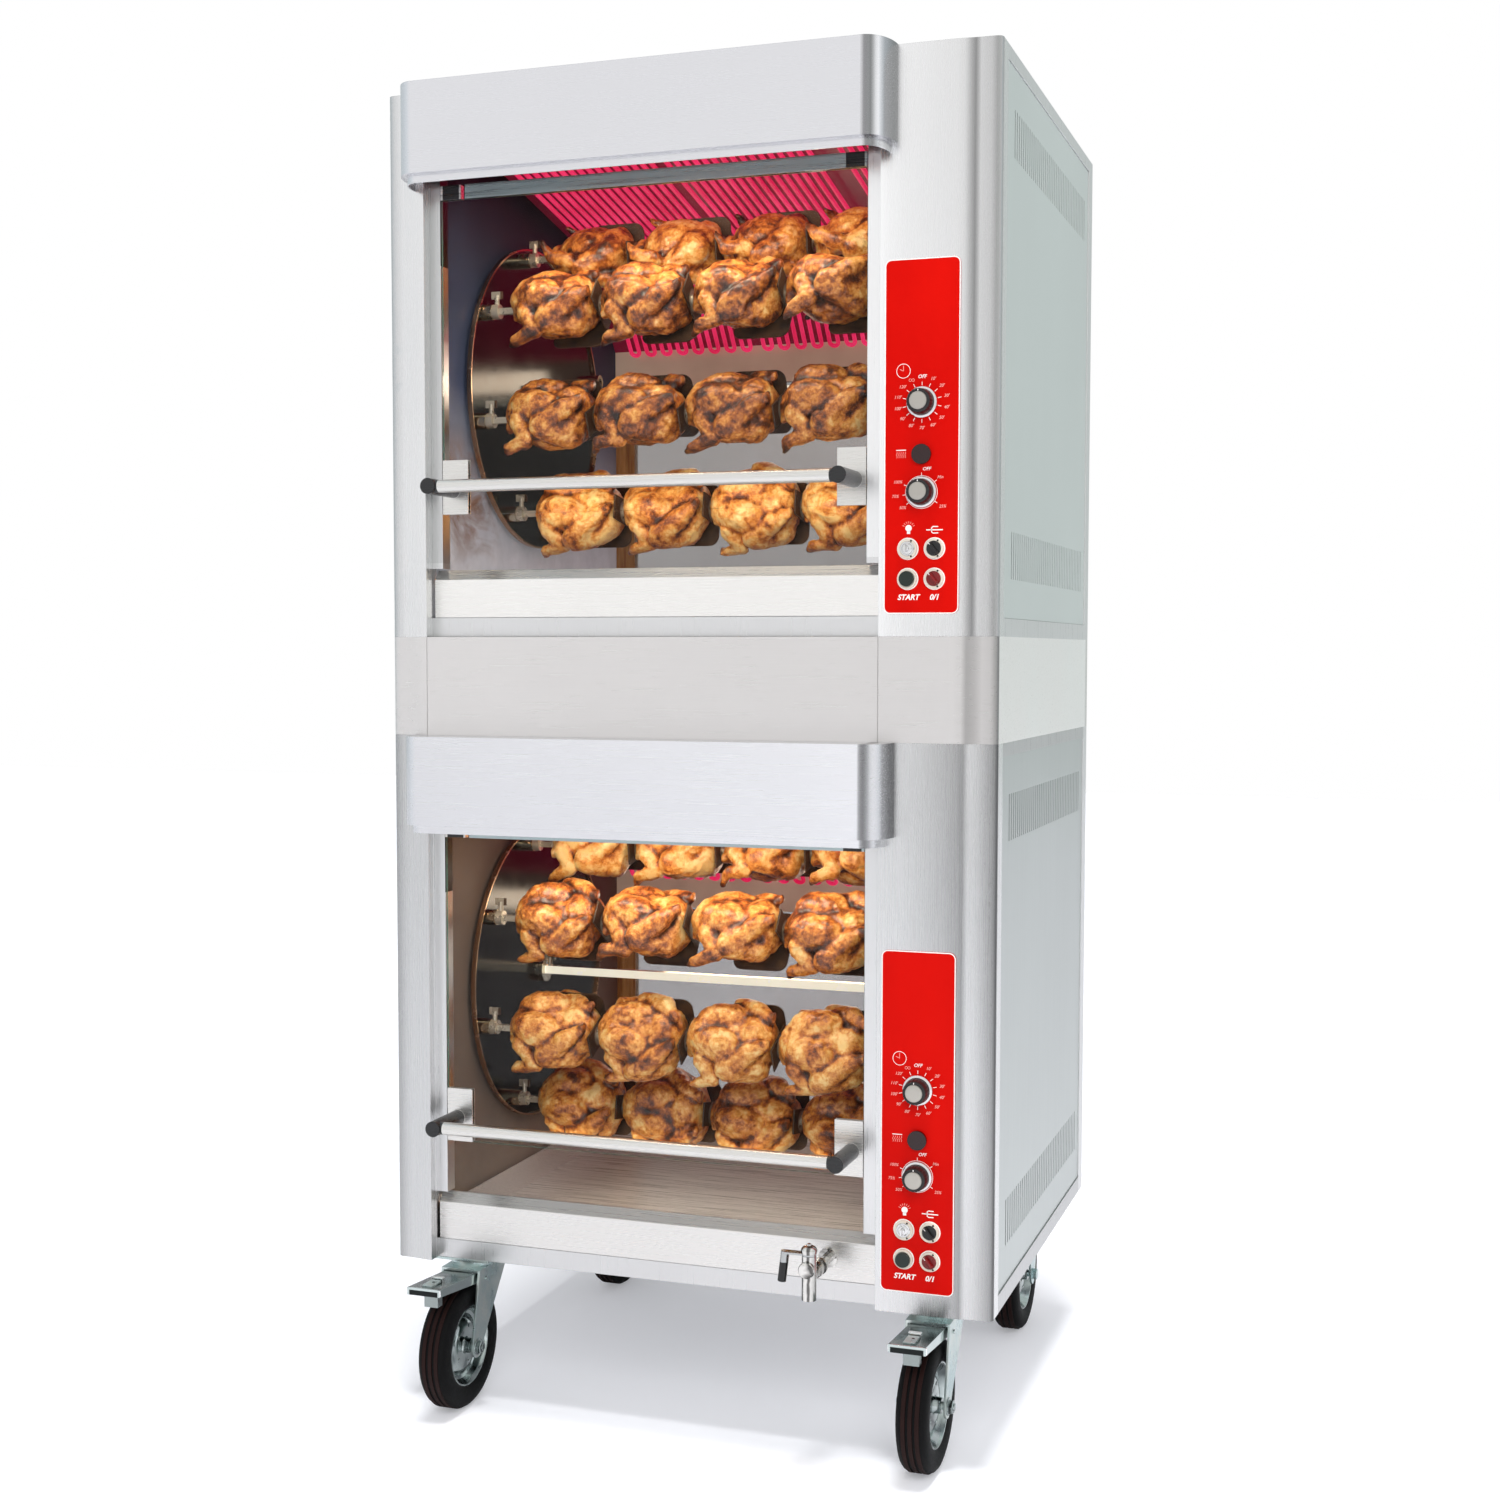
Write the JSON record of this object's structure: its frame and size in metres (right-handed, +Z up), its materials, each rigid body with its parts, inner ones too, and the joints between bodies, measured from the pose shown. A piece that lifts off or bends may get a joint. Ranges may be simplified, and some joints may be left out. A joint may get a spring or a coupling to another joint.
{
  "type": "electric chicken rotisserie",
  "caption": "Two-module electric rotisserie oven with planetary spits, glass doors, drip drawers and a caster base",
  "frame": {"origin": "on the floor, below the middle of the overall box", "axes": "+Z up, +X to the right along the front, +Y from front to back"},
  "size_m": [0.99, 0.885, 2.107],
  "materials": {
    "case_steel": "brushed, pale",
    "stainless": "brushed",
    "heater": "glowing sheath",
    "glass": "clear tempered",
    "red_plate": "smooth painted",
    "chrome": "polished",
    "cast_metal": "cast",
    "zinc": "zinc plated",
    "roast_chicken": "glazed roast skin",
    "black_plastic": "satin",
    "red_plastic": "gloss",
    "green_plastic": "satin",
    "tyre": "ribbed"
  },
  "bodies": {
    "cabinet": {"cabinet_frame": "case_steel", "rear_frame": "case_steel", "front_pillars": "case_steel", "side_panels": "case_steel", "spacer_band": "case_steel", "hoods": "case_steel", "cavity_walls": "stainless", "heating_elements": "heater", "heater_reflectors": "stainless", "fixed_glass": "glass", "control_panels": "red_plate", "switch_bezels": "chrome", "drive_units": "cast_metal", "caster_mounts": "zinc"},
    "lower_rotor": {"lower_rotor": "stainless"},
    "lower_spit_1": {"lower_spit_1": "stainless", "lower_chickens_1": "roast_chicken"},
    "lower_spit_2": {"lower_spit_2": "stainless", "lower_chickens_2": "roast_chicken"},
    "lower_spit_3": {"lower_spit_3": "stainless", "lower_chickens_3": "roast_chicken"},
    "lower_spit_4": {"lower_spit_4": "stainless", "lower_chickens_4": "roast_chicken"},
    "lower_door": {"lower_door_glass": "glass", "lower_door_hardware": "stainless"},
    "lower_drip_drawer": {"lower_drip_drawer": "case_steel", "tap_body": "chrome"},
    "lower_timer_knob": {"lower_timer_knob": "black_plastic"},
    "lower_power_knob": {"lower_power_knob": "black_plastic"},
    "lower_light_key": {"lower_light_key": "chrome"},
    "lower_spit_selector": {"lower_spit_selector": "black_plastic"},
    "lower_main_selector": {"lower_main_selector": "red_plastic"},
    "lower_start_button": {"lower_start_button": "green_plastic"},
    "upper_rotor": {"upper_rotor": "stainless"},
    "upper_spit_1": {"upper_spit_1": "stainless", "upper_chickens_1": "roast_chicken"},
    "upper_spit_2": {"upper_spit_2": "stainless", "upper_chickens_2": "roast_chicken"},
    "upper_spit_3": {"upper_spit_3": "stainless", "upper_chickens_3": "roast_chicken"},
    "upper_spit_4": {"upper_spit_4": "stainless", "upper_chickens_4": "roast_chicken"},
    "upper_door": {"upper_door_glass": "glass", "upper_door_hardware": "stainless"},
    "upper_drip_drawer": {"upper_drip_drawer": "case_steel"},
    "upper_timer_knob": {"upper_timer_knob": "black_plastic"},
    "upper_power_knob": {"upper_power_knob": "black_plastic"},
    "upper_light_key": {"upper_light_key": "chrome"},
    "upper_spit_selector": {"upper_spit_selector": "black_plastic"},
    "upper_main_selector": {"upper_main_selector": "red_plastic"},
    "upper_start_button": {"upper_start_button": "green_plastic"},
    "tap_lever": {"tap_lever": "black_plastic"},
    "front_left_caster_fork": {"front_left_caster_fork": "zinc"},
    "front_left_wheel": {"front_left_wheel": "tyre"},
    "front_left_brake_pedal": {"front_left_brake_pedal": "zinc"},
    "rear_left_wheel": {"rear_left_wheel": "tyre"},
    "front_right_caster_fork": {"front_right_caster_fork": "zinc"},
    "front_right_wheel": {"front_right_wheel": "tyre"},
    "front_right_brake_pedal": {"front_right_brake_pedal": "zinc"},
    "rear_right_wheel": {"rear_right_wheel": "tyre"}
  },
  "joints": [
    {"name": "lower_rotor_turn", "type": "hinge", "parent": "cabinet", "child": "lower_rotor", "pos_m": [-0.048, 0.0415, 0.66], "axis": [1, 0, 0], "continuous": true},
    {"name": "lower_spit_1_turn", "type": "hinge", "parent": "lower_rotor", "child": "lower_spit_1", "pos_m": [-0.048, -0.02062, 0.89182], "axis": [1, 0, 0], "continuous": true},
    {"name": "lower_spit_2_turn", "type": "hinge", "parent": "lower_rotor", "child": "lower_spit_2", "pos_m": [-0.048, -0.16635, 0.78], "axis": [1, 0, 0], "continuous": true},
    {"name": "lower_spit_3_turn", "type": "hinge", "parent": "lower_rotor", "child": "lower_spit_3", "pos_m": [-0.048, -0.19032, 0.59788], "axis": [1, 0, 0], "continuous": true},
    {"name": "lower_spit_4_turn", "type": "hinge", "parent": "lower_rotor", "child": "lower_spit_4", "pos_m": [-0.048, -0.0785, 0.45215], "axis": [1, 0, 0], "continuous": true},
    {"name": "lower_door_hinge", "type": "hinge", "parent": "cabinet", "child": "lower_door", "pos_m": [-0.06, -0.318, 0.944], "axis": [-1, 0, 0], "range_deg": [0, 75]},
    {"name": "lower_drawer_slide", "type": "slide", "parent": "cabinet", "child": "lower_drip_drawer", "axis": [0, -1, 0], "range_m": [0, 0.45]},
    {"name": "lower_timer_knob_turn", "type": "hinge", "parent": "cabinet", "child": "lower_timer_knob", "pos_m": [0.381, -0.3525, 0.58], "axis": [0, 1, 0], "range_deg": [0, 300]},
    {"name": "lower_power_knob_turn", "type": "hinge", "parent": "cabinet", "child": "lower_power_knob", "pos_m": [0.381, -0.3525, 0.45], "axis": [0, 1, 0], "range_deg": [0, 270]},
    {"name": "lower_light_key_turn", "type": "hinge", "parent": "cabinet", "child": "lower_light_key", "pos_m": [0.361, -0.3495, 0.368], "axis": [0, 1, 0], "range_deg": [0, 90]},
    {"name": "lower_spit_selector_turn", "type": "hinge", "parent": "cabinet", "child": "lower_spit_selector", "pos_m": [0.401, -0.3495, 0.368], "axis": [0, 1, 0], "range_deg": [0, 90]},
    {"name": "lower_main_selector_turn", "type": "hinge", "parent": "cabinet", "child": "lower_main_selector", "pos_m": [0.401, -0.3495, 0.324], "axis": [0, 1, 0], "range_deg": [0, 90]},
    {"name": "lower_start_button_press", "type": "slide", "parent": "cabinet", "child": "lower_start_button", "axis": [0, 1, 0], "range_m": [0, 0.004], "stiffness_N_per_m": 400},
    {"name": "upper_rotor_turn", "type": "hinge", "parent": "cabinet", "child": "upper_rotor", "pos_m": [-0.048, 0.0415, 1.672], "axis": [1, 0, 0], "continuous": true},
    {"name": "upper_spit_1_turn", "type": "hinge", "parent": "upper_rotor", "child": "upper_spit_1", "pos_m": [-0.048, -0.02062, 1.90382], "axis": [1, 0, 0], "continuous": true},
    {"name": "upper_spit_2_turn", "type": "hinge", "parent": "upper_rotor", "child": "upper_spit_2", "pos_m": [-0.048, -0.16635, 1.792], "axis": [1, 0, 0], "continuous": true},
    {"name": "upper_spit_3_turn", "type": "hinge", "parent": "upper_rotor", "child": "upper_spit_3", "pos_m": [-0.048, -0.19032, 1.60988], "axis": [1, 0, 0], "continuous": true},
    {"name": "upper_spit_4_turn", "type": "hinge", "parent": "upper_rotor", "child": "upper_spit_4", "pos_m": [-0.048, -0.0785, 1.46415], "axis": [1, 0, 0], "continuous": true},
    {"name": "upper_door_hinge", "type": "hinge", "parent": "cabinet", "child": "upper_door", "pos_m": [-0.06, -0.318, 1.956], "axis": [-1, 0, 0], "range_deg": [0, 75]},
    {"name": "upper_drawer_slide", "type": "slide", "parent": "cabinet", "child": "upper_drip_drawer", "axis": [0, -1, 0], "range_m": [0, 0.45]},
    {"name": "upper_timer_knob_turn", "type": "hinge", "parent": "cabinet", "child": "upper_timer_knob", "pos_m": [0.381, -0.3525, 1.592], "axis": [0, 1, 0], "range_deg": [0, 300]},
    {"name": "upper_power_knob_turn", "type": "hinge", "parent": "cabinet", "child": "upper_power_knob", "pos_m": [0.381, -0.3525, 1.462], "axis": [0, 1, 0], "range_deg": [0, 270]},
    {"name": "upper_light_key_turn", "type": "hinge", "parent": "cabinet", "child": "upper_light_key", "pos_m": [0.361, -0.3495, 1.38], "axis": [0, 1, 0], "range_deg": [0, 90]},
    {"name": "upper_spit_selector_turn", "type": "hinge", "parent": "cabinet", "child": "upper_spit_selector", "pos_m": [0.401, -0.3495, 1.38], "axis": [0, 1, 0], "range_deg": [0, 90]},
    {"name": "upper_main_selector_turn", "type": "hinge", "parent": "cabinet", "child": "upper_main_selector", "pos_m": [0.401, -0.3495, 1.336], "axis": [0, 1, 0], "range_deg": [0, 90]},
    {"name": "upper_start_button_press", "type": "slide", "parent": "cabinet", "child": "upper_start_button", "axis": [0, 1, 0], "range_m": [0, 0.004], "stiffness_N_per_m": 400},
    {"name": "tap_lever_turn", "type": "hinge", "parent": "lower_drip_drawer", "child": "tap_lever", "pos_m": [0.236, -0.4175, 0.338], "axis": [0, 0, 1], "range_deg": [0, 90]},
    {"name": "front_left_swivel", "type": "hinge", "parent": "cabinet", "child": "front_left_caster_fork", "pos_m": [-0.392, -0.2675, 0.23], "axis": [0, 0, 1], "continuous": true},
    {"name": "front_left_wheel_spin", "type": "hinge", "parent": "front_left_caster_fork", "child": "front_left_wheel", "pos_m": [-0.392, -0.3255, 0.1], "axis": [1, 0, 0], "continuous": true},
    {"name": "front_left_brake", "type": "hinge", "parent": "front_left_caster_fork", "child": "front_left_brake_pedal", "pos_m": [-0.392, -0.2945, 0.204], "axis": [1, 0, 0], "range_deg": [0, 10]},
    {"name": "rear_left_wheel_spin", "type": "hinge", "parent": "cabinet", "child": "rear_left_wheel", "pos_m": [-0.392, 0.3375, 0.1], "axis": [1, 0, 0], "continuous": true},
    {"name": "front_right_swivel", "type": "hinge", "parent": "cabinet", "child": "front_right_caster_fork", "pos_m": [0.392, -0.2675, 0.23], "axis": [0, 0, 1], "continuous": true},
    {"name": "front_right_wheel_spin", "type": "hinge", "parent": "front_right_caster_fork", "child": "front_right_wheel", "pos_m": [0.392, -0.3255, 0.1], "axis": [1, 0, 0], "continuous": true},
    {"name": "front_right_brake", "type": "hinge", "parent": "front_right_caster_fork", "child": "front_right_brake_pedal", "pos_m": [0.392, -0.2945, 0.204], "axis": [1, 0, 0], "range_deg": [0, 10]},
    {"name": "rear_right_wheel_spin", "type": "hinge", "parent": "cabinet", "child": "rear_right_wheel", "pos_m": [0.392, 0.3375, 0.1], "axis": [1, 0, 0], "continuous": true}
  ],
  "couplings": [
    {"joint": "lower_spit_1_turn", "follows": "lower_rotor_turn", "ratio": 3},
    {"joint": "lower_spit_2_turn", "follows": "lower_rotor_turn", "ratio": 3},
    {"joint": "lower_spit_3_turn", "follows": "lower_rotor_turn", "ratio": 3},
    {"joint": "lower_spit_4_turn", "follows": "lower_rotor_turn", "ratio": 3},
    {"joint": "upper_spit_1_turn", "follows": "upper_rotor_turn", "ratio": 3},
    {"joint": "upper_spit_2_turn", "follows": "upper_rotor_turn", "ratio": 3},
    {"joint": "upper_spit_3_turn", "follows": "upper_rotor_turn", "ratio": 3},
    {"joint": "upper_spit_4_turn", "follows": "upper_rotor_turn", "ratio": 3}
  ]
}
